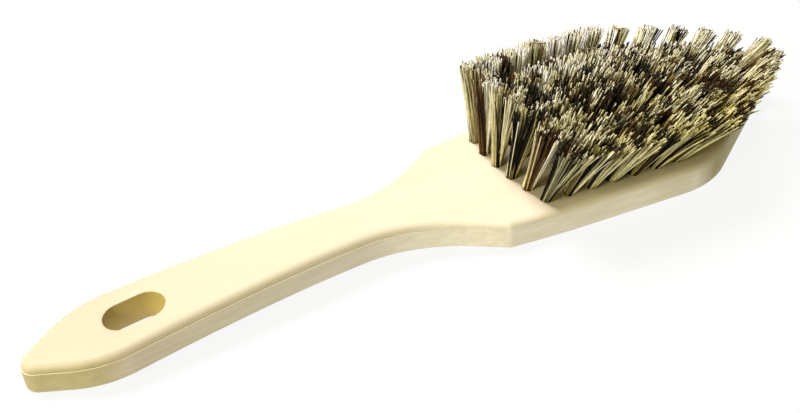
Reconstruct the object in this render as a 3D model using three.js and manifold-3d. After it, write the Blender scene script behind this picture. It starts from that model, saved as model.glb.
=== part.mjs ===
// Corner brush: a swept wooden block with fanned tufts of natural fibre, each held by a driven metal anchor.
// Millimetres. +X runs from the handle to the point of the head, +Z is the bristle side.
// The origin lies on the flat back of the head, on the middle line.
import * as THREE from "three";
import { mergeVertices } from "three/addons/utils/BufferGeometryUtils.js";
import Module from "manifold-3d";

const wasm = await Module();
wasm.setup();

// Block, plan
const handleLength = 184; // handle end to shoulder line
const headLength = 160; // shoulder line to the point of the head
const originToShoulder = 78;
const gripWidth = 36.6; // widths are those of the sharp corners that the radii round
const neckWidth = 23.8;
const shoulderWidth = 65.4;
const headWidth = 88.6;
const endAngle = THREE.MathUtils.degToRad(31.4); // taper of the handle end, from the middle line
const flareAngle = THREE.MathUtils.degToRad(34); // neck to shoulder
const pointAngle = THREE.MathUtils.degToRad(31.5); // taper of the head to its point
const endRadius = 6.4;
const gripRadius = 38;
const neckRadius = 70;
const shoulderRadius = 3.5;
const cheekRadius = 40;
const pointRadius = 7;

// Block, side view
const blockThickness = 12;
const topRound = 3; // edge round on the bristle side
const backRound = 1.2; // edge round on the back
const archRise = 5.7; // the handle bows up by this much at its crown
const archCrown = 103; // handle end to crown
const archRunOut = 36; // the back is flat from this far past the shoulder line

// Hang slot
const slotCentre = 42.8; // from the handle end
const slotLength = 23.3;
const slotWidth = 14.2;

// Tufts: rings that follow the edge of the head, counted by hand
const sideMargin = 9.5; // outer ring to the sides of the head
const frontMargin = 16; // outer ring to the front edges
const heelSetback = 21.5; // shoulder line to the heel row
const heelBow = 2.5; // the heel row bows towards the handle
const ringPitch = 12.5;
const rings = [
  { name: "outer", heel: 6, side: 6, front: 6 },
  { name: "middle", heel: 4, side: 4, front: 4 },
  { name: "inner", heel: 2, side: 3, front: 2 },
];
const sideLean = THREE.MathUtils.degToRad(22.5); // outward lean along the edges of the field
const pointLean = THREE.MathUtils.degToRad(49); // forward lean at the point
const heelFree = 38; // length out of the block at the heel row
const pointFree = 29.5; // length out of the block at the point
const tuftLobes = 7; // strands that show round a bundle
const lobeDepth = 0.16; // share of the radius between two strands
const tipCrown = 1;
const tipGap = 0.6; // neighbours spread until this much is left between their tips
const collar = 2.5; // a tuft stays tight for this far above the hole

// Tuft holes and anchors
const holeDiameter = 4.6;
const holeFloor = 4; // wood left behind an upright hole
const anchorWidth = 5.6; // wider than the hole, so its ends bite into the wood
const anchorThickness = 0.6;
const anchorHeight = 2;
const seatGap = 0.3; // clearance round a tuft and its anchor

// Facets
const arcStep = THREE.MathUtils.degToRad(6.5);
const stationStep = 14; // longest straight stretch of the block's outline
const roundSteps = 3; // facets of the top edge round
const backSteps = 2;
const holeSides = 8;
const slotSides = 10; // facets of each slot end
const cutOver = 4; // cutting tools run past the faces by this much

const holeDepth = blockThickness - holeFloor;
const shoulderX = -originToShoulder;
const endX = shoulderX - handleLength;
const pointX = shoulderX + headLength;
const up = new THREE.Vector3(0, 0, 1);

const woodMaterial = new THREE.MeshStandardMaterial({ color: 0xe8dbb2, roughness: 0.75, metalness: 0 });
const fibreMaterial = new THREE.MeshStandardMaterial({ color: 0x93835f, roughness: 0.85, metalness: 0 });

// Closed geometry to a solid that can be joined and cut.
function solidOf(geometry) {
  const bare = new THREE.BufferGeometry();
  bare.setAttribute("position", geometry.getAttribute("position").clone());
  if (geometry.index) {
    bare.setIndex(geometry.index.clone());
  }
  const merged = mergeVertices(bare);
  const triangles = [];
  for (let i = 0; i < merged.index.count; i += 3) {
    const [a, b, c] = [0, 1, 2].map((k) => merged.index.getX(i + k));
    if (a !== b && b !== c && a !== c) {
      triangles.push(a, b, c);
    }
  }
  return new wasm.Manifold(
    new wasm.Mesh({
      numProp: 3,
      vertProperties: new Float32Array(merged.attributes.position.array),
      triVerts: new Uint32Array(triangles),
    }),
  );
}

function geometryOf(solid) {
  const mesh = solid.getMesh();
  const geometry = new THREE.BufferGeometry();
  geometry.setAttribute("position", new THREE.BufferAttribute(mesh.vertProperties, 3));
  geometry.setIndex(new THREE.BufferAttribute(mesh.triVerts, 1));
  geometry.computeVertexNormals();
  return geometry;
}

// Height of the bowed back above the flat back of the head.
function archAt(x) {
  const crownX = endX + archCrown;
  const flatX = shoulderX + archRunOut;
  if (x >= flatX) {
    return 0;
  }
  if (x >= crownX) {
    const share = (x - crownX) / (flatX - crownX);
    return (archRise * (1 + Math.cos(Math.PI * share))) / 2;
  }
  return archRise * Math.cos((Math.PI * (crownX - x)) / (2 * archCrown));
}

// Half outline of the block as sharp corners from the handle end to the point, with the radius of each.
function sharpCorners() {
  const endApex = endX - endRadius * (1 / Math.sin(endAngle) - 1);
  const pointApex = pointX + pointRadius * (1 / Math.sin(pointAngle) - 1);
  const neckX = shoulderX - (shoulderWidth - neckWidth) / 2 / Math.tan(flareAngle);
  const corner = (x, width, radius) => ({ at: new THREE.Vector2(x, width / 2), radius });
  return [
    corner(endApex, 0, endRadius),
    corner(endApex + gripWidth / 2 / Math.tan(endAngle), gripWidth, gripRadius),
    corner(neckX, neckWidth, neckRadius),
    corner(shoulderX, shoulderWidth, shoulderRadius),
    corner(pointApex - headWidth / 2 / Math.tan(pointAngle), headWidth, cheekRadius),
    corner(pointApex, 0, pointRadius),
  ];
}

const corners = sharpCorners();

// Straight sides of the half outline, moved inwards by inset.
function sidesAt(inset) {
  return corners.slice(1).map((corner, i) => {
    const along = corner.at.clone().sub(corners[i].at).normalize();
    const inward = new THREE.Vector2(along.y, -along.x);
    return { from: corners[i].at.clone().addScaledVector(inward, inset), along };
  });
}

function crossing(a, b) {
  const gap = b.from.clone().sub(a.from);
  const reach = gap.cross(b.along) / a.along.cross(b.along);
  return a.from.clone().addScaledVector(a.along, reach);
}

// Rounded half outline at an inset: the same number of points whatever the inset.
function halfOutline(inset) {
  const sides = sidesAt(inset);
  const mirrored = (side) => ({
    from: new THREE.Vector2(side.from.x, -side.from.y),
    along: new THREE.Vector2(-side.along.x, side.along.y),
  });
  const before = [mirrored(sides[0]), ...sides];
  const after = [...sides, mirrored(sides.at(-1))];
  const points = [];
  corners.forEach((corner, i) => {
    const sharp = crossing(before[i], after[i]);
    const turn = Math.atan2(before[i].along.cross(after[i].along), before[i].along.dot(after[i].along));
    const outwardCorner = turn < 0;
    const radius = outwardCorner ? corner.radius - inset : corner.radius + inset;
    const tangent = radius * Math.tan(Math.abs(turn) / 2);
    const start = sharp.clone().addScaledVector(before[i].along, -tangent);
    const inward = new THREE.Vector2(before[i].along.y, -before[i].along.x);
    const centre = start.clone().addScaledVector(inward, outwardCorner ? radius : -radius);
    const steps = 2 * Math.ceil(Math.abs(turn) / arcStep / 2);
    const first = i === 0 ? steps / 2 : 0;
    const last = i === corners.length - 1 ? steps / 2 : steps;
    const arc = [];
    for (let k = first; k <= last; k++) {
      arc.push(start.clone().rotateAround(centre, (turn * k) / steps));
    }
    if (i > 0) {
      const stretch = Math.ceil(corner.at.distanceTo(corners[i - 1].at) / stationStep);
      const left = points.at(-1).clone();
      for (let k = 1; k < stretch; k++) {
        points.push(left.clone().lerp(arc[0], k / stretch));
      }
    }
    points.push(...arc);
  });
  points[0].y = 0;
  points.at(-1).y = 0;
  return points;
}

// Edge profile from the back to the bristle side, as insets and heights.
function edgeProfile() {
  const profile = [];
  for (let k = 0; k <= backSteps; k++) {
    const angle = (Math.PI / 2) * (k / backSteps);
    const inset = backRound * (1 - Math.sin(angle));
    profile.push({ inset, height: backRound * (1 - Math.cos(angle)) });
  }
  for (let k = 0; k <= roundSteps; k++) {
    const angle = (Math.PI / 2) * (k / roundSteps);
    const height = blockThickness - topRound * (1 - Math.sin(angle));
    profile.push({ inset: topRound * (1 - Math.cos(angle)), height });
  }
  return profile;
}

// Bowed board: one loop of points for each step of the edge profile, closed by strips across the faces.
function boardGeometry() {
  const position = [];
  const index = [];
  const loops = edgeProfile().map(({ inset, height }) => {
    const half = halfOutline(inset);
    const mirror = half.slice(1, -1).reverse().map((p) => new THREE.Vector2(p.x, -p.y));
    return [...half, ...mirror].map((p) => {
      position.push(p.x, p.y, height + archAt(p.x));
      return position.length / 3 - 1;
    });
  });
  const quad = (a, b, c, d) => index.push(a, b, c, a, c, d);
  const count = loops[0].length;
  for (let k = 1; k < loops.length; k++) {
    for (let i = 0; i < count; i++) {
      const next = (i + 1) % count;
      quad(loops[k - 1][next], loops[k - 1][i], loops[k][i], loops[k][next]);
    }
  }
  const back = loops[0];
  const top = loops.at(-1);
  for (let i = 0; i < count / 2; i++) {
    const [a, b] = [i, i + 1];
    const [c, d] = [count - b, (count - a) % count];
    quad(top[a], top[d], top[c], top[b]);
    quad(back[a], back[b], back[c], back[d]);
  }
  return new THREE.BufferGeometry()
    .setAttribute("position", new THREE.Float32BufferAttribute(position, 3))
    .setIndex(index);
}

function slotTool() {
  const radius = slotWidth / 2;
  const reach = slotLength / 2 - radius;
  const shape = new THREE.Shape();
  shape.absarc(reach, 0, radius, -Math.PI / 2, Math.PI / 2);
  shape.absarc(-reach, 0, radius, Math.PI / 2, (3 * Math.PI) / 2);
  const depth = blockThickness + archRise + 2 * cutOver;
  const tool = new THREE.ExtrudeGeometry(shape, { depth, bevelEnabled: false, curveSegments: slotSides });
  return solidOf(tool.translate(endX + slotCentre, 0, -cutOver));
}

// Places of the tufts of one ring: heel row, two sides, two front edges and the point.
function ringPlaces(ring, number) {
  const inset = number * ringPitch;
  const side = sidesAt(sideMargin + inset).at(-2);
  const front = sidesAt(frontMargin + inset).at(-1);
  const heelX = shoulderX + heelSetback + inset;
  const heelLine = { from: new THREE.Vector2(heelX, 0), along: new THREE.Vector2(0, 1) };
  const middleLine = { from: new THREE.Vector2(0, 0), along: new THREE.Vector2(1, 0) };
  const heelCorner = crossing(side, heelLine);
  const cheek = crossing(side, front);
  const tip = crossing(front, middleLine);
  const places = [];
  const add = (name, at) => places.push({ name: `${ring.name}_${name}`, at });
  for (let k = 0; k < ring.heel; k++) {
    const share = ring.heel > 1 ? (2 * k) / (ring.heel - 1) - 1 : 0;
    const bow = heelBow * (1 - share * share);
    add(`heel_tuft_${k + 1}`, new THREE.Vector2(heelX - bow, share * heelCorner.y));
  }
  for (const [hand, sign] of [["left", 1], ["right", -1]]) {
    for (let k = 1; k <= ring.side; k++) {
      const at = heelCorner.clone().lerp(cheek, k / ring.side);
      add(`${hand}_tuft_${k}`, at.setY(sign * at.y));
    }
    for (let k = 1; k < ring.front; k++) {
      const at = cheek.clone().lerp(tip, k / ring.front);
      add(`front_${hand}_tuft_${k}`, at.setY(sign * at.y));
    }
  }
  add("point_tuft", tip);
  return places;
}

// Half width of the tuft field, along its outer ring.
function fieldHalfWidth(x) {
  const across = { from: new THREE.Vector2(x, 0), along: new THREE.Vector2(0, 1) };
  const side = crossing(sidesAt(sideMargin).at(-2), across);
  const front = crossing(sidesAt(frontMargin).at(-1), across);
  return Math.min(side.y, front.y);
}

// The tufts fan out: sideways by their share of the way to the edge, forwards ever more towards the point.
function fanOut(places) {
  const heelX = shoulderX + heelSetback;
  const reach = Math.max(...places.map((place) => place.at.x)) - heelX;
  return places.map(({ name, at }) => {
    const ahead = Math.max(0, at.x - heelX) / reach;
    const aside = at.y === 0 ? 0 : at.y / fieldHalfWidth(at.x);
    const forward = Math.tan(pointLean) * ahead ** 2;
    const outward = Math.tan(sideLean) * aside;
    const axis = new THREE.Vector3(forward, outward, 1).normalize();
    const mouth = new THREE.Vector3(at.x, at.y, blockThickness + archAt(at.x));
    const free = THREE.MathUtils.lerp(heelFree, pointFree, ahead);
    return { name, axis, mouth, free, tip: mouth.clone().addScaledVector(axis, free) };
  });
}

const tufts = fanOut(rings.flatMap(ringPlaces));

function tipRadiusOf(tuft) {
  const others = tufts.filter((other) => other !== tuft);
  const nearest = Math.min(...others.map((other) => other.tip.distanceTo(tuft.tip)));
  return (nearest - tipGap) / 2;
}

// Puts a shape made along +Z from the hole's mouth where its tuft is.
function placement(tuft) {
  const turn = new THREE.Quaternion().setFromUnitVectors(up, tuft.axis);
  return new THREE.Matrix4().compose(tuft.mouth, turn, new THREE.Vector3(1, 1, 1));
}

// A drilled blind hole with the two grooves that the anchor cuts on its way down.
function holeTool(tuft) {
  const depth = holeDepth + cutOver;
  const middle = (cutOver - holeDepth) / 2;
  const drill = new THREE.CylinderGeometry(holeDiameter / 2, holeDiameter / 2, depth, holeSides);
  const groove = new THREE.BoxGeometry(anchorThickness + 2 * seatGap, anchorWidth + 2 * seatGap, depth);
  drill.rotateX(Math.PI / 2).translate(0, 0, middle).applyMatrix4(placement(tuft));
  groove.translate(0, 0, middle).applyMatrix4(placement(tuft));
  return solidOf(drill).add(solidOf(groove));
}

// A bundle folded over its anchor: tight in the hole, spread and lobed towards the trimmed tips.
function tuftGeometry(tuft) {
  const rootRadius = holeDiameter / 2 - seatGap;
  const tipRadius = tipRadiusOf(tuft);
  const foot = seatGap - holeDepth;
  const outline = [
    new THREE.Vector2(0, foot),
    new THREE.Vector2(rootRadius, foot),
    new THREE.Vector2(rootRadius, collar),
    new THREE.Vector2(tipRadius, tuft.free - tipCrown),
    new THREE.Vector2(0, tuft.free),
  ];
  const bundle = new THREE.LatheGeometry(outline, 2 * tuftLobes);
  const position = bundle.getAttribute("position");
  for (let i = 0; i < position.count; i++) {
    const share = THREE.MathUtils.clamp(position.getY(i) / tuft.free, 0, 1);
    const angle = Math.atan2(position.getX(i), position.getZ(i));
    const waist = 1 - (lobeDepth * share * (1 - Math.cos(tuftLobes * angle))) / 2;
    position.setX(i, position.getX(i) * waist);
    position.setZ(i, position.getZ(i) * waist);
  }
  bundle.rotateX(Math.PI / 2);
  const anchor = new THREE.BoxGeometry(anchorThickness, anchorWidth, anchorHeight);
  anchor.translate(0, 0, foot + anchorHeight / 2);
  return geometryOf(solidOf(bundle).add(solidOf(anchor)));
}

function blockMesh() {
  const board = solidOf(boardGeometry()).subtract(slotTool());
  const drilled = tufts.reduce((block, tuft) => block.subtract(holeTool(tuft)), board);
  const mesh = new THREE.Mesh(geometryOf(drilled), woodMaterial);
  mesh.name = "brush_block";
  return mesh;
}

function tuftMesh(tuft) {
  const mesh = new THREE.Mesh(tuftGeometry(tuft), fibreMaterial);
  mesh.name = tuft.name;
  mesh.applyMatrix4(placement(tuft));
  return mesh;
}

const brush = new THREE.Group();
brush.add(blockMesh(), ...tufts.map(tuftMesh));

export default brush;
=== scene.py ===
import math
import bpy
import numpy as np
from mathutils import Matrix, Vector


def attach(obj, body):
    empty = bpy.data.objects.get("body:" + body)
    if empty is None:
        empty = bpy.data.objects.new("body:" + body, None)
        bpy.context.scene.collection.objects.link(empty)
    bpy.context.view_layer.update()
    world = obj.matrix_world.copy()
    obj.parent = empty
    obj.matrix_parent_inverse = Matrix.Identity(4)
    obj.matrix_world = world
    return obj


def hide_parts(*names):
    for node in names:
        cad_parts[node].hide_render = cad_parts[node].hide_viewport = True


# Corner brush lying on its back: a bowed wooden block and fanned tufts of mixed natural fibre.
# Metres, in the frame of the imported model: +X to the point of the head, +Z the bristle side.

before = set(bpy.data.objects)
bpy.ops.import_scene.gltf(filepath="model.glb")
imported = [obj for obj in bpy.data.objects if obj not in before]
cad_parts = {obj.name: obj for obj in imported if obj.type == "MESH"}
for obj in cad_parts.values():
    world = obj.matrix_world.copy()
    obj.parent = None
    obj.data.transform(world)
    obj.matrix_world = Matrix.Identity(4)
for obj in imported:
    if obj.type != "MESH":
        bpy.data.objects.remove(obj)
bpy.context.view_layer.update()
print("frame loaded,", len(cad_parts), "nodes")

placeDigits = 7     # points that agree to this many decimals are the same point


def deselectAll():
    bpy.ops.object.select_all(action="DESELECT")


def makeActive(piece):
    deselectAll()
    piece.select_set(True)
    bpy.context.view_layer.objects.active = piece


def enterEdit():
    bpy.ops.object.mode_set(mode="EDIT")


def leaveEdit():
    bpy.ops.object.mode_set(mode="OBJECT")


def editAll(piece):
    makeActive(piece)
    enterEdit()
    bpy.ops.mesh.select_all(action="SELECT")


def selectInEdit(piece, kind, test):
    # picks edges or faces by a test on their place, then goes into edit mode
    makeActive(piece)
    enterEdit()
    bpy.ops.mesh.select_mode(type=kind)
    bpy.ops.mesh.select_all(action="DESELECT")
    leaveEdit()
    mesh = piece.data
    items = mesh.edges if kind == "EDGE" else mesh.polygons
    for item in items:
        item.select = test(item, [mesh.vertices[i].co for i in item.vertices])
    enterEdit()


def cutAway(piece, cutter):
    makeActive(piece)
    cut = piece.modifiers.new("cut", "BOOLEAN")
    cut.operation = "DIFFERENCE"
    cut.solver = "EXACT"
    cut.object = cutter
    bpy.ops.object.modifier_apply(modifier=cut.name)
    bpy.data.objects.remove(cutter)


def smooth(share):
    share = min(max(share, 0.0), 1.0)
    return share * share * (3 - 2 * share)


def between(start, end, share):
    return start + (end - start) * share


# Camera
cameraView = {
    "place": (-0.28316, -0.32531, 0.28913),
    "azimuth": math.radians(28.24),
    "elevation": math.radians(36.61),
    "roll": math.radians(-3.83),
    "lens": 52.4655,
    "sensor": 36.0,
}


def addCamera(view):
    az = view["azimuth"]
    el = view["elevation"]
    roll = view["roll"]
    ahead = Vector((math.sin(az) * math.cos(el), math.cos(az) * math.cos(el), -math.sin(el)))
    level = Vector((math.cos(az), -math.sin(az), 0))
    rise = level.cross(ahead)
    right = math.cos(roll) * level + math.sin(roll) * rise
    up = math.cos(roll) * rise - math.sin(roll) * level
    turn = Matrix((right, up, -ahead)).transposed()
    data = bpy.data.cameras.new("camera")
    data.lens = view["lens"]
    data.sensor_fit = "HORIZONTAL"
    data.sensor_width = view["sensor"]
    camera = bpy.data.objects.new("camera", data)
    camera.matrix_world = Matrix.Translation(view["place"]) @ turn.to_4x4()
    bpy.context.scene.collection.objects.link(camera)
    bpy.context.scene.camera = camera


addCamera(cameraView)
print("camera placed")


# Wooden block
blockPlan = {
    "handleLength": 0.184,
    "headLength": 0.160,
    "originToShoulder": 0.078,
    "gripWidth": 0.0366,
    "neckWidth": 0.0238,
    "shoulderWidth": 0.0654,
    "headWidth": 0.0886,
    "endAngle": math.radians(31.4),
    "flareAngle": math.radians(34),
    "pointAngle": math.radians(31.5),
    "endRadius": 0.0064,
    "gripRadius": 0.038,
    "neckRadius": 0.070,
    "shoulderRadius": 0.0035,
    "cheekRadius": 0.040,
    "pointRadius": 0.007,
    "thickness": 0.012,
    "topRound": 0.003,
    "topSteps": 7,
    "backRound": 0.0012,
    "backSteps": 4,
    "archRise": 0.0057,
    "archCrown": 0.103,     # highest this far from the handle end
    "archRunOut": 0.036,    # and flat from this far past the shoulder
    "quirk": 0.00050,       # ledge that the round-over cutter leaves on the handle
    "quirkFade": 0.034,     # it runs out over this length
    "quirkStop": 0.0085,    # and is gone this far before the shoulder
    "stepLength": 0.0035,
    "arcStep": math.radians(3),
    "bowStep": 0.005,
    "levelFace": 0.999,     # a face whose normal is this upright is the top or the back
    "smoothAngle": math.radians(28),
}
slotPlan = {
    "centre": 0.0428,       # from the handle end
    "length": 0.0233,
    "width": 0.0142,
    "rimRound": 0.0004,
    "backRimRound": 0.0002,
    "rimSteps": 4,
    "sides": 64,
    "cutterDepth": 0.06,
    "aside": 1e-4,          # an edge this close to the slot's outline
    "offLevel": 1e-5,       # and this close to the face is on its rim
}
holePlan = {
    "radius": 0.0023,
    "depth": 0.006,
    "above": 0.003,         # the drill stands this far out of the wood
    "sides": 20,
    "tuftFoot": 0.0077,     # a tuft solid starts this far down its hole
    "footSlice": 1e-4,      # its points this close to the lowest are its foot
}
shoulderX = -blockPlan["originToShoulder"]
endX = shoulderX - blockPlan["handleLength"]
pointX = shoulderX + blockPlan["headLength"]
slotX = endX + slotPlan["centre"]


def outlineCorners(plan):
    # sharp corners of the left half, from the handle end to the point, with their radii
    endApex = endX - plan["endRadius"] * (1 / math.sin(plan["endAngle"]) - 1)
    pointApex = pointX + plan["pointRadius"] * (1 / math.sin(plan["pointAngle"]) - 1)
    flare = (plan["shoulderWidth"] - plan["neckWidth"]) / 2
    neckX = shoulderX - flare / math.tan(plan["flareAngle"])
    gripX = endApex + plan["gripWidth"] / 2 / math.tan(plan["endAngle"])
    cheekX = pointApex - plan["headWidth"] / 2 / math.tan(plan["pointAngle"])
    return [
        (Vector((endApex, 0)), plan["endRadius"]),
        (Vector((gripX, plan["gripWidth"] / 2)), plan["gripRadius"]),
        (Vector((neckX, plan["neckWidth"] / 2)), plan["neckRadius"]),
        (Vector((shoulderX, plan["shoulderWidth"] / 2)), plan["shoulderRadius"]),
        (Vector((cheekX, plan["headWidth"] / 2)), plan["cheekRadius"]),
        (Vector((pointApex, 0)), plan["pointRadius"]),
    ]


def cross2(a, b):
    return a.x * b.y - a.y * b.x


def mirrorSide(side):
    start, along = side
    return Vector((start.x, -start.y)), Vector((-along.x, along.y))


def cornerArc(sideA, sideB, radius, inset, half, plan):
    # arc from one side to the next; half keeps the part before or after the middle line
    fromA, alongA = sideA
    fromB, alongB = sideB
    sharp = fromA + alongA * (cross2(fromB - fromA, alongB) / cross2(alongA, alongB))
    turn = math.atan2(cross2(alongA, alongB), alongA.dot(alongB))
    bulge = 1 if turn < 0 else -1
    radius -= bulge * inset
    start = sharp - alongA * radius * math.tan(abs(turn) / 2)
    centre = start + Vector((alongA.y, -alongA.x)) * bulge * radius
    spoke = start - centre
    steps = 2 * math.ceil(abs(turn) / plan["arcStep"] / 2)
    first = steps // 2 if half == "after" else 0
    last = steps // 2 if half == "before" else steps
    arc = []
    for k in range(first, last + 1):
        c = math.cos(turn * k / steps)
        s = math.sin(turn * k / steps)
        arc.append(centre + Vector((spoke.x * c - spoke.y * s, spoke.x * s + spoke.y * c)))
    return arc


def outlineAt(plan, inset):
    # rounded outline moved in by inset, with the same number of points whatever the inset
    corners = outlineCorners(plan)
    sides = []
    for (a, _), (b, _) in zip(corners, corners[1:]):
        along = (b - a).normalized()
        sides.append((a + Vector((along.y, -along.x)) * inset, along))
    before = [mirrorSide(sides[0])] + sides
    after = sides + [mirrorSide(sides[-1])]
    halves = ["after"] + ["whole"] * (len(corners) - 2) + ["before"]
    left = []
    for i, (corner, radius) in enumerate(corners):
        arc = cornerArc(before[i], after[i], radius, inset, halves[i], plan)
        if left:
            stretch = math.ceil((corner - corners[i - 1][0]).length / plan["stepLength"])
            start = left[-1]
            left += [start.lerp(arc[0], k / stretch) for k in range(1, stretch)]
        left += arc
    left[0].y = 0
    left[-1].y = 0
    return left + [Vector((p.x, -p.y)) for p in reversed(left[1:-1])]


def archAt(plan, x):
    crownX = endX + plan["archCrown"]
    flatX = shoulderX + plan["archRunOut"]
    if x >= flatX:
        return 0.0
    if x >= crownX:
        return plan["archRise"] * (1 + math.cos(math.pi * (x - crownX) / (flatX - crownX))) / 2
    return plan["archRise"] * math.cos(math.pi * (crownX - x) / (2 * plan["archCrown"]))


def edgeSteps(plan):
    # inset, height and share of the ledge, from the back up
    steps = []
    for k in range(plan["backSteps"] + 1):
        angle = math.pi / 2 * k / plan["backSteps"]
        inset = plan["backRound"] * (1 - math.sin(angle))
        steps.append((inset, plan["backRound"] * (1 - math.cos(angle)), 0))
    wallTop = plan["thickness"] - plan["topRound"]
    steps.append((0, wallTop, 0))
    for k in range(plan["topSteps"] + 1):
        angle = math.pi / 2 * k / plan["topSteps"]
        inset = plan["topRound"] * (1 - math.cos(angle))
        steps.append((inset, wallTop + plan["topRound"] * math.sin(angle), 1))
    return steps


def placeKey(point):
    return round(point.x, placeDigits), round(point.y, placeDigits)


def modelBoard(plan):
    # the back face of the outline, extruded ring by ring up the edge to the top face
    steps = edgeSteps(plan)
    ring = outlineAt(plan, steps[0][0])
    deselectAll()
    bpy.ops.mesh.primitive_circle_add(vertices=len(ring), radius=plan["headWidth"], fill_type="NGON")
    board = bpy.context.object
    board.name = "block"
    for v, p in zip(board.data.vertices, ring):
        v.co = (p.x, p.y, steps[0][1])
    editAll(board)
    leaveEdit()
    fadeEnd = shoulderX - plan["quirkStop"]
    for inset, height, ledge in steps[1:]:
        plain = outlineAt(plan, inset)
        stepped = outlineAt(plan, inset + plan["quirk"])
        numberOf = {placeKey(p): k for k, p in enumerate(ring)}
        ring = [None] * len(plain)
        enterEdit()
        bpy.ops.mesh.extrude_region_move(TRANSFORM_OT_translate={"value": (0, 0, height)})
        leaveEdit()
        for v in board.data.vertices:
            if not v.select:
                continue
            k = numberOf[placeKey(v.co)]
            share = ledge * (1 - smooth((plain[k].x - fadeEnd) / plan["quirkFade"] + 1))
            ring[k] = plain[k].lerp(stepped[k], share)
            v.co = (ring[k].x, ring[k].y, height)
    editAll(board)
    bpy.ops.mesh.normals_make_consistent(inside=False)
    leaveEdit()
    return board


def cutHangSlot(board, plan):
    radius = plan["width"] / 2
    reach = plan["length"] / 2 - radius
    deselectAll()
    bpy.ops.mesh.primitive_cylinder_add(vertices=plan["sides"], radius=radius,
                                        depth=plan["cutterDepth"],
                                        rotation=(0, 0, math.pi / plan["sides"]))
    cutter = bpy.context.object
    bpy.ops.object.transform_apply(location=False, rotation=True, scale=False)
    for v in cutter.data.vertices:
        v.co.x += math.copysign(reach, v.co.x) + slotX
    cutAway(board, cutter)

    rims = ((blockPlan["thickness"], plan["rimRound"]), (0.0, plan["backRimRound"]))
    for level, size in rims:

        def onRim(edge, points):
            inX = all(abs(p.x - slotX) < plan["length"] / 2 + plan["aside"] for p in points)
            inY = all(abs(p.y) < radius + plan["aside"] for p in points)
            return inX and inY and all(abs(p.z - level) < plan["offLevel"] for p in points)

        selectInEdit(board, "EDGE", onRim)
        bpy.ops.mesh.bevel(offset=size, segments=plan["rimSteps"], affect="EDGES", clamp_overlap=False)
        leaveEdit()


def bowBoard(board, plan):
    # cut the two faces across at each station, then lift every point by the arch
    flatX = shoulderX + plan["archRunOut"]
    for x in np.arange(endX + plan["bowStep"], flatX + plan["bowStep"], plan["bowStep"]):
        selectInEdit(board, "FACE", lambda face, points: abs(face.normal.z) > plan["levelFace"])
        bpy.ops.mesh.bisect(plane_co=(x, 0, 0), plane_no=(1, 0, 0))
        leaveEdit()
    for v in board.data.vertices:
        v.co.z += archAt(plan, v.co.x)


def tuftLine(node, plan):
    # mouth of the hole, direction and free length of a tuft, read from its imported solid
    points = np.array([v.co for v in node.data.vertices])
    points = np.unique(points.round(placeDigits), axis=0)
    middle = points.mean(0)
    axis = np.linalg.svd(points - middle)[2][0]
    axis = axis if axis[2] > 0 else -axis
    along = (points - middle) @ axis
    tip = points[along.argmax()]
    foot = points[along < along.min() + plan["footSlice"]].mean(0)
    length = np.linalg.norm(tip - foot)
    axis = (tip - foot) / length
    free = length - plan["tuftFoot"]
    return Vector(tip - axis * free), Vector(axis), float(free)


tuftLines = {}
for name, node in sorted(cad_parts.items()):
    if "_tuft" in name:
        tuftLines[name] = tuftLine(node, holePlan)
print("tufts read from the frame:", len(tuftLines))


def drillTuftHoles(board, plan, lines):
    cutters = []
    lift = Matrix.Translation((0, 0, (plan["above"] - plan["depth"]) / 2))
    for mouth, axis, _ in lines.values():
        deselectAll()
        bpy.ops.mesh.primitive_cylinder_add(vertices=plan["sides"], radius=plan["radius"],
                                            depth=plan["depth"] + plan["above"])
        drill = bpy.context.object
        turn = Vector((0, 0, 1)).rotation_difference(axis).to_matrix().to_4x4()
        drill.data.transform(Matrix.Translation(mouth) @ turn @ lift)
        cutters.append(drill)
    deselectAll()
    for drill in cutters:
        drill.select_set(True)
    bpy.context.view_layer.objects.active = cutters[0]
    bpy.ops.object.join()
    cutAway(board, cutters[0])


block = modelBoard(blockPlan)
print("board outline and edges done,", len(block.data.polygons), "faces")
cutHangSlot(block, slotPlan)
bowBoard(block, blockPlan)
drillTuftHoles(block, holePlan, tuftLines)
makeActive(block)
bpy.ops.object.shade_smooth_by_angle(angle=blockPlan["smoothAngle"])
print("block bowed, slotted and drilled,", len(block.data.polygons), "faces")


# Materials
def newMaterial(name):
    material = bpy.data.materials.new(name)
    material.use_nodes = True
    tree = material.node_tree
    tree.nodes.clear()
    out = tree.nodes.new("ShaderNodeOutputMaterial")
    shader = tree.nodes.new("ShaderNodeBsdfPrincipled")
    tree.links.new(shader.outputs["BSDF"], out.inputs["Surface"])
    return material, tree, shader


def addNode(tree, kind, **settings):
    node = tree.nodes.new(kind)
    for key, value in settings.items():
        setattr(node, key, value)
    return node


def setInput(tree, socket, value):
    # links a socket, or sets a number or a colour
    if isinstance(value, bpy.types.NodeSocket):
        tree.links.new(value, socket)
    elif isinstance(value, (int, float)):
        socket.default_value = value
    else:
        socket.default_value = (*value, 1)


def addRamp(tree, factor, stops):
    ramp = addNode(tree, "ShaderNodeValToRGB")
    points = ramp.color_ramp.elements
    while len(points) < len(stops):
        points.new(0.5)     # goes to its own place below
    for point, (place, colour) in zip(points, stops):
        point.position = place
        point.color = (*colour, 1)
    tree.links.new(factor, ramp.inputs["Fac"])
    return ramp.outputs["Color"]


def addFade(tree, factor, limits):
    # nothing up to the first limit, all of it from the second
    start, end = limits
    return addRamp(tree, factor, [(start, (0, 0, 0)), (end, (1, 1, 1))])


def addMix(tree, factor, a, b, mode="MIX"):
    mix = addNode(tree, "ShaderNodeMix", data_type="RGBA", blend_type=mode)
    colours = [socket for socket in mix.inputs if socket.type == "RGBA"]
    for socket, value in zip((mix.inputs[0], *colours), (factor, a, b)):
        setInput(tree, socket, value)
    return next(socket for socket in mix.outputs if socket.type == "RGBA")


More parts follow.
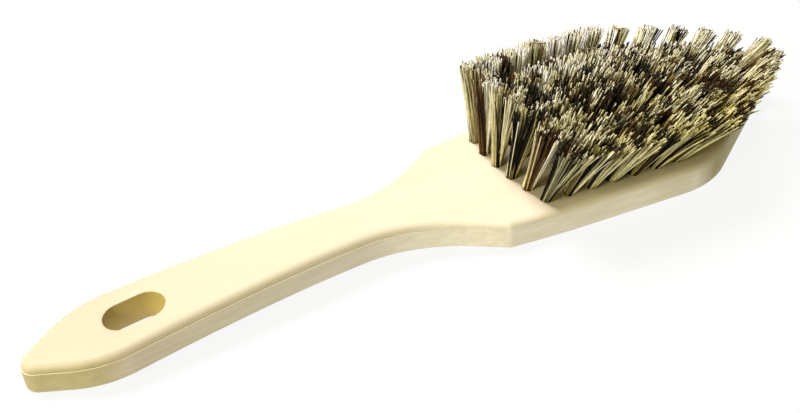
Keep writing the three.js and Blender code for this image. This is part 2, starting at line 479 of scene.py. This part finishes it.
def addMath(tree, operation, a, b=0.0, clamp=False):
    node = addNode(tree, "ShaderNodeMath", operation=operation, use_clamp=clamp)
    setInput(tree, node.inputs[0], a)
    setInput(tree, node.inputs[1], b)
    return node.outputs[0]


def multiply(tree, a, b):
    return addMath(tree, "MULTIPLY", a, b)


def splitVector(tree, vector):
    split = addNode(tree, "ShaderNodeSeparateXYZ")
    tree.links.new(vector, split.inputs[0])
    return split.outputs


def shareAlong(tree, x, start, end):
    return addMath(tree, "DIVIDE", addMath(tree, "SUBTRACT", x, start), end - start, clamp=True)


def addNoise(tree, place, look):
    mapping = addNode(tree, "ShaderNodeMapping")
    mapping.inputs["Scale"].default_value = look["stretch"]
    tree.links.new(place, mapping.inputs["Vector"])
    noise = addNode(tree, "ShaderNodeTexNoise")
    noise.inputs["Scale"].default_value = 1.0
    noise.inputs["Detail"].default_value = look["detail"]
    noise.inputs["Roughness"].default_value = look["rough"]
    noise.inputs["Distortion"].default_value = look["warp"]
    tree.links.new(mapping.outputs["Vector"], noise.inputs["Vector"])
    return noise.outputs["Fac"]


woodLook = {
    "pale": (0.72, 0.625, 0.49),
    "warm": (0.68, 0.578, 0.43),
    "bands": {"stretch": (5, 60, 40), "detail": 3.0, "rough": 0.5, "warp": 0.6},
    "bandFrom": 0.30,
    "bandTo": 0.72,
    "grain": {"stretch": (22, 520, 420), "detail": 5.0, "rough": 0.6, "warp": 0.3},
    "lineFade": (0.45, 0.80),
    "lineShare": 0.35,
    "pores": {"stretch": (160, 1900, 1500), "detail": 2.0, "rough": 0.5, "warp": 0.0},
    "fleck": (0.58, 0.45, 0.18),
    "fleckFade": (0.66, 0.74),
    "fleckShare": 0.4,
    "edge": (0.835, 0.765, 0.62),       # painted light: upright edges paler than the faces
    "edgeGrain": [(0.36, (0.88, 0.86, 0.82)), (0.64, (1.0, 1.0, 1.0))],
    "handWearAndShade": (0.51, 0.44, 0.31),      # duller on the handle: partly hand wear, partly painted shade where its top catches more light
    # hand wear and painted shade on the handle's edges
    "handleEdgeWearAndShade": (0.73, 0.615, 0.46),
    "handWearShadeFrom": -0.235,              # fully so up to here, and fading out to the next
    "handWearShadeTo": -0.110,
    "handWearShadeShare": 0.85,
    # end grain, darker than the rest, and darker still as painted shade on the end and front walls
    "endGrainAndShade": (0.455, 0.39, 0.16),
    "endFade": (0.00, 0.30),            # by how far a wall faces along the board
    "frontFrom": -0.020,                # on the head it sets in over this stretch
    "frontTo": 0.010,
    # painted shade: darker, yellower walls inside the hanging slot
    "slotPaintedShade": (0.52, 0.39, 0.11),
    "slotShadeShare": 0.9,
    "slotEdge": 0.00025,                # it takes in the rim this far out
    "roughness": [(0.3, (0.52, 0.52, 0.52)), (0.8, (0.68, 0.68, 0.68))],
    "specular": 0.35,
    "bumpStrength": 0.18,
    "bumpHeight": 0.0003,
    "fleckDepth": 0.6,
}


def paleWood(look):
    material, tree, shader = newMaterial("pale_wood")
    coordinates = addNode(tree, "ShaderNodeTexCoord").outputs
    place = coordinates["Object"]
    x, y, _ = splitVector(tree, place)
    normalX, _, normalZ = splitVector(tree, coordinates["Normal"])
    grain = addNoise(tree, place, look["grain"])
    flecks = addFade(tree, addNoise(tree, place, look["pores"]), look["fleckFade"])
    upright = addMath(tree, "SUBTRACT", 1.0, addMath(tree, "ABSOLUTE", normalZ))
    handleMask = shareAlong(tree, x, look["handWearShadeTo"], look["handWearShadeFrom"])
    handleMask = multiply(tree, handleMask, look["handWearShadeShare"])
    # faces
    bands = addNoise(tree, place, look["bands"])
    lines = addFade(tree, grain, look["lineFade"])
    body = addRamp(tree, bands, [(look["bandFrom"], look["pale"]), (look["bandTo"], look["warm"])])
    body = addMix(tree, multiply(tree, lines, look["lineShare"]), body, look["warm"])
    body = addMix(tree, multiply(tree, flecks, look["fleckShare"]), body, look["fleck"])
    # hand wear and painted shade darken the handle's faces
    body = addMix(tree, handleMask, body, look["handWearAndShade"])
    # painted light: upright edges paler than the faces, darker again on the handle by hand wear and
    # painted shade
    body = addMix(tree, upright, body, addMix(tree, handleMask, look["edge"], look["handleEdgeWearAndShade"]))
    # end grain at the handle end and along the front of the head, darker still there as painted shade
    front = shareAlong(tree, x, look["frontFrom"], look["frontTo"])
    ends = addFade(tree, addMath(tree, "ABSOLUTE", normalX), look["endFade"])
    ends = multiply(tree, ends, addMath(tree, "MAXIMUM", front, handleMask))
    body = addMix(tree, multiply(tree, ends, upright), body, look["endGrainAndShade"])
    # the grain shows on the edges too
    body = addMix(tree, upright, body, addRamp(tree, grain, look["edgeGrain"]), "MULTIPLY")
    # painted shade: darker, yellower walls inside the hanging slot
    offX = addMath(tree, "ABSOLUTE", addMath(tree, "SUBTRACT", x, slotX))
    offY = addMath(tree, "ABSOLUTE", y)
    insideX = addMath(tree, "LESS_THAN", offX, slotPlan["length"] / 2 + look["slotEdge"])
    insideY = addMath(tree, "LESS_THAN", offY, slotPlan["width"] / 2 + look["slotEdge"])
    inSlot = multiply(tree, multiply(tree, insideX, insideY), upright)
    body = addMix(tree, multiply(tree, inSlot, look["slotShadeShare"]), body, look["slotPaintedShade"])
    tree.links.new(body, shader.inputs["Base Color"])
    tree.links.new(addRamp(tree, grain, look["roughness"]), shader.inputs["Roughness"])
    shader.inputs["Specular IOR Level"].default_value = look["specular"]
    # raised grain and sunk flecks
    relief = addMath(tree, "SUBTRACT", grain, multiply(tree, flecks, look["fleckDepth"]))
    bump = addNode(tree, "ShaderNodeBump")
    bump.inputs["Strength"].default_value = look["bumpStrength"]
    bump.inputs["Distance"].default_value = look["bumpHeight"]
    tree.links.new(relief, bump.inputs["Height"])
    tree.links.new(bump.outputs["Normal"], shader.inputs["Normal"])
    return material


fibreLook = {
    # grey, black, brown, tan, straw, cream and white, by a strand's tone
    "tones": [
        (0.00, (0.42, 0.42, 0.37)),
        (0.03, (0.24, 0.24, 0.20)),
        (0.06, (0.005, 0.004, 0.002)),
        (0.33, (0.012, 0.008, 0.003)),
        (0.43, (0.065, 0.022, 0.010)),
        (0.52, (0.15, 0.082, 0.032)),
        (0.57, (0.41, 0.37, 0.19)),
        (0.65, (0.71, 0.66, 0.43)),
        (0.74, (0.90, 0.88, 0.78)),
        (0.83, (0.77, 0.74, 0.52)),
        (0.93, (1.00, 0.99, 1.00)),
    ],
    # darker and yellower down the shaft, duller at the ends
    "worn": [
        (0.00, (0.55, 0.50, 0.36)),
        (0.25, (1.00, 0.97, 0.80)),
        (0.75, (1.00, 0.98, 0.90)),
        (0.88, (0.95, 0.93, 0.86)),
        (1.00, (0.82, 0.80, 0.74)),
    ],
    # painted shade: a yellow tint on the near side, where the fibres lie in shade
    "nearShadeTint": (0.94, 0.85, 0.33),
    "dust": (0.17, 0.155, 0.105),
    "dustFade": (0.70, 0.96),
    "dustShare": 0.05,
    "mottle": {"stretch": (380, 380, 380), "detail": 3.0, "rough": 0.6, "warp": 0.0},
    "mottleShade": [(0.3, (0.72, 0.70, 0.68)), (0.7, (1.0, 1.0, 1.0))],
    "roughness": [(0.3, (0.45, 0.45, 0.45)), (0.7, (0.62, 0.62, 0.62))],
    "specular": 0.08,
}


def readLayer(tree, name):
    return addNode(tree, "ShaderNodeAttribute", attribute_name=name).outputs["Fac"]


def mixedFibre(look):
    material, tree, shader = newMaterial("mixed_fibre")
    along = readLayer(tree, "along")
    place = addNode(tree, "ShaderNodeTexCoord").outputs["Object"]
    mottle = addNoise(tree, place, look["mottle"])
    colour = addRamp(tree, readLayer(tree, "tone"), look["tones"])
    colour = addMix(tree, 1.0, colour, addRamp(tree, mottle, look["mottleShade"]), "MULTIPLY")
    colour = addMix(tree, 1.0, colour, addRamp(tree, along, look["worn"]), "MULTIPLY")
    dusty = addFade(tree, along, look["dustFade"])
    colour = addMix(tree, multiply(tree, dusty, look["dustShare"]), colour, look["dust"])
    # painted shade: the near side tinted yellower
    colour = addMix(tree, readLayer(tree, "nearShadeTint"), colour, look["nearShadeTint"], "MULTIPLY")
    tree.links.new(colour, shader.inputs["Base Color"])
    tree.links.new(addRamp(tree, mottle, look["roughness"]), shader.inputs["Roughness"])
    shader.inputs["Specular IOR Level"].default_value = look["specular"]
    return material


woodMaterial = paleWood(woodLook)
fibreMaterial = mixedFibre(fibreLook)
block.data.materials.clear()
block.data.materials.append(woodMaterial)
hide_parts("brush_block")
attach(block, "root")
print("materials made")


# Fibre tufts
tuftPlan = {
    "strands": 180,
    "strandRadius": 0.00034,
    "strandThickness": (0.75, 1.25),    # thinnest and thickest strand, as shares of that
    "strandCorners": 3,
    "rootShare": 0.62,      # strands are squeezed in the hole
    "tipShare": 0.92,
    "joints": 5,
    "collar": 0.06,         # share of the free length before the first joint
    "curl": 0.0010,
    "offUpright": 1e-3,     # keeps the sideways direction of an upright strand defined
    "rootRadius": 0.0020,   # of the bundle in its hole
    "rootDepth": 0.0030,    # strands start this far down it
    # fan of a tuft's outermost strands, and how it changes towards the point
    "spread": {"outer": 0.125, "middle": 0.20, "inner": 0.22},
    "spreadGain": {"outer": -0.50, "middle": 0.50, "inner": 0.30},
    "farPinch": 0.45,       # outer tufts keep together on the far side of the front
    "farHold": 0.60,        # and the rows behind them don't reach into their gaps
    "farForward": 0.16,     # they lean further ahead too
    "stray": 0.014,         # strands and locks that stand out of line
    "lockStray": 0.034,
    "fanHeel": 0.65,        # the heel row fans less than it is drilled
    "fanFront": 1.40,       # and the front more
    "frontGather": 0.50,    # but not close to the point
    "leanGain": {"outer": 0.0, "middle": 0.45, "inner": 0.70},  # rows inside lean after the outer one
    "sweepHeel": -0.30,     # the whole field is swept to the near side by use
    "sweepPoint": -0.27,
    "trimHeel": 0.0516,     # height of the trimmed ends over the back, at the heel
    "trimFall": 0.0516,     # and its slope down towards the point
    "trimPoint": 0.0110,    # lower still at the point
    "trimSide": 0.0035,     # and at the widest places
    "trimFar": 0.0016,      # lower on the far side of the front
    "trimNear": 0.0050,     # and higher on the near side
    "trimPasses": 4,        # rounds of lengthening until the ends meet the trim
    "trimRagged": 0.0006,
    "nearRagged": 0.0022,   # rougher on the near side
    "wornShort": {"outer": 0.0, "middle": 0.0018, "inner": 0.0018},     # uneven wear in the rows inside
    "farWorn": {"outer": 0.0, "middle": 0.0050, "inner": 0.0040},       # more of it behind the far row
    "shortShare": 0.08,     # broken strands
    "shortest": 0.75,
    # strands of one colour lie together in locks of this size, broader on the far side
    "lock": {"outer": 0.0011, "middle": 0.0010, "inner": 0.0010},
    "farLock": {"outer": 0.6, "middle": 0.3, "inner": 0.0},
    "lockTone": 0.03,       # how far a strand's tone departs from its lock's
    "tuftTone": 0.10,       # and a tuft's from the others'
    "rowTone": {"outer": 0.03, "middle": -0.09, "inner": -0.11},
    "farPaintedLightTone": {"outer": 0.50, "middle": 0.22, "inner": 0.0},   # painted light: a lighter mix on the far side
    "farFrom": 0.10,        # but not in the heel row
    "pointPaintedLightTone": 0.52,      # painted light: a lighter mix towards the point on the near side
    "loneShare": 0.16,      # strands with a tone of their own
    "nearPaintedLightTone": 0.14,      # painted light: a lighter mix on the near side, with the painted shade tint
    "nearShadeTintHeel": 0.50,      # the painted shade tint is on the near side, with this share of it in the heel
    "seed": 11,
}
mouths = [line[0] for line in tuftLines.values()]
heelX = tuftLines["outer_heel_tuft_1"][0].x
fieldLength = max(mouth.x for mouth in mouths) - heelX
fieldHalf = max(mouth.y for mouth in mouths)


def modelStrand(plan):
    # a unit strand along +Z, tapered and closed at both ends
    deselectAll()
    bpy.ops.mesh.primitive_circle_add(vertices=plan["strandCorners"], radius=1.0, fill_type="NGON")
    strand = bpy.context.object
    strand.name = "strand"
    editAll(strand)
    taper = [plan["tipShare"] ** (k / (plan["joints"] - 1)) for k in range(1, plan["joints"])]
    shares = [plan["rootShare"], 1.0] + taper
    bpy.ops.transform.resize(value=(shares[0], shares[0], 1))
    for last, share in zip(shares, shares[1:]):
        rise = (0, 0, 1 / plan["joints"])
        bpy.ops.mesh.extrude_region_move(TRANSFORM_OT_translate={"value": rise})
        bpy.ops.transform.resize(value=(share / last, share / last, 1))
    bpy.ops.mesh.select_all(action="SELECT")
    bpy.ops.mesh.normals_make_consistent(inside=False)
    leaveEdit()
    return strand


def trimAt(plan, x, y):
    ahead = np.clip((x - heelX) / fieldLength, 0, 2)
    wide = y / fieldHalf
    fall = plan["trimFall"] * (x - heelX) + plan["trimPoint"] * ahead ** 2
    skew = np.where(wide > 0, plan["trimFar"], plan["trimNear"])
    aside = plan["trimSide"] * wide ** 2 + skew * np.clip(ahead, 0, 1) * wide
    return plan["trimHeel"] - fall - aside


def readTuft(name, line, plan):
    # row and place of a tuft in the field, as shares, with its spread and lean
    mouth, axis, _ = line
    row = next(key for key in plan["spread"] if key in name)
    ahead = np.clip((mouth.x - heelX) / fieldLength, 0, 1)
    near = np.clip(0.5 - 0.5 * mouth.y / fieldHalf, 0, 1)
    far = 1 - near
    grow = 1.0 if row == "outer" else near
    spread = plan["spread"][row] * (1 + plan["spreadGain"][row] * grow * ahead ** 2)
    if row == "outer":
        spread *= 1 - plan["farPinch"] * far * ahead
    base = (1 + plan["leanGain"][row] * near) * np.array(axis) / axis.z
    fan = between(plan["fanHeel"], plan["fanFront"], ahead)
    fan *= 1 - plan["frontGather"] * ahead * (1 - abs(mouth.y) / fieldHalf)
    sweep = between(plan["sweepHeel"], plan["sweepPoint"], ahead)
    lean = np.array([base[0], base[1] * fan + sweep])
    if row == "outer" and mouth.y > plan["rootRadius"]:
        lean[0] += plan["farForward"] * ahead
    return {"row": row, "ahead": ahead, "near": near, "far": far, "spread": spread, "lean": lean}


def aimStrands(tuft, plan, dice):
    # place of each strand in the hole, the lock it lies in and where it points
    row = tuft["row"]
    count = plan["strands"]
    turn = dice.uniform(0, 2 * math.pi, count)
    ring = np.sqrt(dice.uniform(0, 1, count))
    disc = np.stack([ring * np.cos(turn), ring * np.sin(turn)], 1)
    lockSize = plan["lock"][row] * (1 + plan["farLock"][row] * tuft["far"])
    cells = np.floor(disc * plan["rootRadius"] / lockSize).astype(int)
    locks, lockOf = np.unique(cells, axis=0, return_inverse=True)
    lockOf = lockOf.ravel()
    loose = tuft["spread"] / plan["spread"]["inner"]
    lockStray = dice.normal(0, plan["lockStray"] * loose, (len(locks), 2))
    push = disc.copy()
    if row != "outer":
        push[push[:, 1] > 0, 1] *= 1 - plan["farHold"] * tuft["far"]
    slope = tuft["lean"] + tuft["spread"] * push + lockStray[lockOf]
    slope += dice.normal(0, plan["stray"] * loose, (count, 2))
    aim = np.c_[slope, np.ones(count)]
    aim /= np.linalg.norm(aim, axis=1)[:, None]
    return disc, lockOf, aim


def trimStrands(tuft, spot, aim, free, plan, dice):
    # lengths that bring the ends to the trim, then ragged, worn and broken ones
    row = tuft["row"]
    count = len(spot)
    reach = np.full(count, free)
    for _ in range(plan["trimPasses"]):
        tip = spot + aim * reach[:, None]
        reach = (trimAt(plan, tip[:, 0], tip[:, 1]) - spot[:, 2]) / aim[:, 2]
    ragged = between(plan["trimRagged"], plan["nearRagged"], tuft["near"] ** 3)
    reach += dice.normal(0, ragged, count)
    worn = abs(dice.normal(0, plan["wornShort"][row], count))
    reach -= worn + plan["farWorn"][row] * tuft["far"] ** 2
    broken = dice.uniform(0, 1, count) < plan["shortShare"]
    reach[broken] *= dice.uniform(plan["shortest"], 1, broken.sum())
    return reach


def strandPoints(shape, root, spot, aim, reach, plan, dice):
    # a strand comes up the hole along the tuft's axis, then goes out along its own aim
    count = len(spot)
    bend = dice.normal(0, plan["curl"], (count, 3))
    bend -= (bend * aim).sum(1)[:, None] * aim
    points = np.zeros((count, len(shape), 3))
    firstJoint = 1 / plan["joints"]
    for k, height in enumerate(shape[:, 2]):
        if height < firstJoint / 2:
            points[:, k] = root
        else:
            share = (height - firstJoint) / (1 - firstJoint)
            out = reach * between(plan["collar"], 1, share)
            points[:, k] = spot + aim * out[:, None] + bend * share * share
    sideX = np.cross(aim, np.array([0.0, 0.0, 1.0]) + plan["offUpright"])
    sideX /= np.linalg.norm(sideX, axis=1)[:, None]
    sideY = np.cross(aim, sideX)
    thick = plan["strandRadius"] * dice.uniform(*plan["strandThickness"], count)
    roll = dice.uniform(0, 2 * math.pi, count)[:, None]
    across = shape[None, :, 0] * np.cos(roll) - shape[None, :, 1] * np.sin(roll)
    over = shape[None, :, 0] * np.sin(roll) + shape[None, :, 1] * np.cos(roll)
    section = across[:, :, None] * sideX[:, None] + over[:, :, None] * sideY[:, None]
    return points + thick[:, None, None] * section


def toneStrands(tuft, lockOf, plan, dice):
    # one tone for each lock of strands, a little different strand by strand
    row = tuft["row"]
    ahead = tuft["ahead"]
    near = tuft["near"]
    count = len(lockOf)
    tone = dice.uniform(0, 1, lockOf.max() + 1)[lockOf] + dice.normal(0, plan["lockTone"], count)
    # painted shade on the near side: a yellow tint, with a lighter mix as painted light
    nearShadeTint = near ** 2 * between(plan["nearShadeTintHeel"], 1, ahead)
    tone += dice.normal(plan["rowTone"][row], plan["tuftTone"]) + plan["nearPaintedLightTone"] * nearShadeTint
    # painted light: a lighter mix on the far side, past the heel row
    pastHeel = min(ahead / plan["farFrom"], 1)
    tone += plan["farPaintedLightTone"][row] * tuft["far"] ** 2 * pastHeel
    # painted light: a lighter mix towards the point on the near side
    tone += plan["pointPaintedLightTone"] * near * ahead ** 2
    alone = dice.uniform(0, 1, count) < plan["loneShare"]
    tone[alone] = dice.uniform(0, 1, alone.sum())
    return np.clip(abs(tone), 0, 1), nearShadeTint


def addLayer(mesh, name, values):
    layer = mesh.attributes.new(name, "FLOAT", "POINT")
    layer.data.foreach_set("value", values.astype(np.float32))


def modelTuft(name, line, strand, plan, dice):
    mouth, axis, free = line
    shape = np.array([v.co for v in strand.data.vertices])
    sides = [list(p.vertices) for p in strand.data.polygons]
    tuft = readTuft(name, line, plan)
    disc, lockOf, aim = aimStrands(tuft, plan, dice)
    frameX = np.array(axis.orthogonal().normalized())
    frameY = np.cross(np.array(axis), frameX)
    spot = np.array(mouth) + plan["rootRadius"] * (disc[:, :1] * frameX + disc[:, 1:] * frameY)
    root = spot - np.array(axis) * plan["rootDepth"]
    reach = trimStrands(tuft, spot, aim, free, plan, dice)
    points = strandPoints(shape, root, spot, aim, reach, plan, dice)
    tone, nearShadeTint = toneStrands(tuft, lockOf, plan, dice)
    count = len(points)
    corners = len(shape)
    faces = [[i + k * corners for i in side] for k in range(count) for side in sides]
    mesh = bpy.data.meshes.new(name)
    mesh.from_pydata(points.reshape(-1, 3).tolist(), [], faces)
    addLayer(mesh, "tone", np.repeat(tone, corners))
    addLayer(mesh, "along", np.tile(shape[:, 2], count))
    addLayer(mesh, "nearShadeTint", np.full(count * corners, nearShadeTint))
    mesh.materials.append(fibreMaterial)
    piece = bpy.data.objects.new(name, mesh)
    bpy.context.scene.collection.objects.link(piece)
    makeActive(piece)
    bpy.ops.object.shade_smooth()
    return piece


strand = modelStrand(tuftPlan)
dice = np.random.default_rng(tuftPlan["seed"])
for name, line in tuftLines.items():
    tuft = modelTuft("fibres_" + name, line, strand, tuftPlan, dice)
    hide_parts(name)
    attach(tuft, "root")
bpy.data.objects.remove(strand)
print("tufts grown")


# Floor and light
studio = {
    "floorSize": 8.0,
    "floorGap": 0.0002,
    "floorColour": (0.07, 0.07, 0.07),
    "floorGlow": 0.89,      # a floor that gives light of its own keeps the shadow faint
    "floorRoughness": 0.9,
    "floorSpecular": 0.1,
    "worldColour": (1.0, 0.90, 0.12),
    "worldStrength": 0.14,
    "lamps": {
        "key": {"place": (-0.42, 0.76, 1.75), "size": 0.9, "power": 56.0, "colour": (1.0, 0.98, 1.0)},
        "fill": {"place": (-2.70, -0.80, 1.45), "size": 1.4, "power": 70.0, "colour": (1.0, 0.97, 0.70)},
    },
    "lampTarget": (-0.06, 0.0, 0.0),
}


def addFloor(plan):
    deselectAll()
    bpy.ops.mesh.primitive_plane_add(size=plan["floorSize"], location=(0, 0, -plan["floorGap"]))
    floor = bpy.context.object
    floor.name = "floor"
    bpy.ops.object.transform_apply(location=True, rotation=False, scale=False)
    material, _, shader = newMaterial("pale_floor")
    shader.inputs["Base Color"].default_value = (*plan["floorColour"], 1)
    shader.inputs["Roughness"].default_value = plan["floorRoughness"]
    shader.inputs["Specular IOR Level"].default_value = plan["floorSpecular"]
    shader.inputs["Emission Color"].default_value = (1, 1, 1, 1)
    shader.inputs["Emission Strength"].default_value = plan["floorGlow"]
    floor.data.materials.append(material)


def addLight(plan):
    world = bpy.data.worlds.new("studio")
    world.use_nodes = True
    background = world.node_tree.nodes["Background"]
    background.inputs["Color"].default_value = (*plan["worldColour"], 1)
    background.inputs["Strength"].default_value = plan["worldStrength"]
    bpy.context.scene.world = world
    for name, lamp in plan["lamps"].items():
        data = bpy.data.lights.new(name, "AREA")
        data.shape = "DISK"
        data.size = lamp["size"]
        data.energy = lamp["power"]
        data.color = lamp["colour"]
        light = bpy.data.objects.new(name, data)
        light.location = lamp["place"]
        aim = Vector(plan["lampTarget"]) - Vector(lamp["place"])
        light.rotation_euler = aim.to_track_quat("-Z", "Y").to_euler()
        bpy.context.scene.collection.objects.link(light)
    view = bpy.context.scene.view_settings
    view.view_transform = "Standard"
    view.look = "None"


addFloor(studio)
addLight(studio)
print("studio lit")
